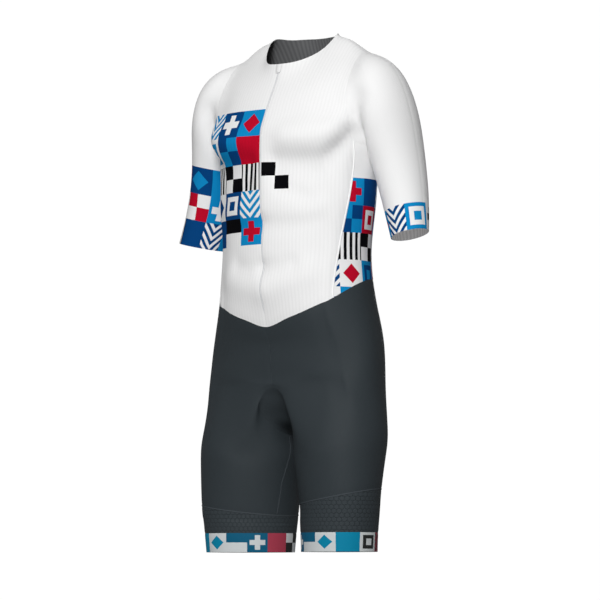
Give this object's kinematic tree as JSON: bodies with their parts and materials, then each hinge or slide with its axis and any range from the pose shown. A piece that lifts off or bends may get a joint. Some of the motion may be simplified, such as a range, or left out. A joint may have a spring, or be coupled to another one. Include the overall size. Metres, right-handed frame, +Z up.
{
  "type": "triathlon suit",
  "caption": "One-piece triathlon suit with short sleeves, front zip and mid-thigh legs, hollow and filled out as if worn, with no wearer.",
  "frame": {"origin": "midway between the two points where the shoulder seams meet the neck edge, where the wearer's shoulders hold the suit", "axes": "+Z up towards the head, -Y the way the wearer faces, +X towards the wearer's left"},
  "size_m": [0.544, 0.2342, 0.9353],
  "materials": {
    "white_knit": "matt, fine vertical ribs",
    "charcoal_knit": "smooth, soft sheen",
    "embossed_knit": "embossed with small hexagons",
    "grip_band": "smooth printed elastic",
    "zip_coil": "satin",
    "zip_slider": "satin, lacquered metal"
  },
  "bodies": {
    "root": {"front_left": "white_knit", "side_left": "white_knit", "sleeve_front_left": "white_knit", "sleeve_back_left": "white_knit", "leg_left": "charcoal_knit", "thigh_panel_left": "embossed_knit", "leg_band_left": "grip_band", "front_right": "white_knit", "side_right": "white_knit", "sleeve_front_right": "white_knit", "sleeve_back_right": "white_knit", "leg_right": "charcoal_knit", "thigh_panel_right": "embossed_knit", "leg_band_right": "grip_band", "back": "white_knit", "gusset": "charcoal_knit", "zip": "zip_coil", "zip_slider": "zip_slider", "zip_garage": "white_knit"}
  },
  "joints": []
}
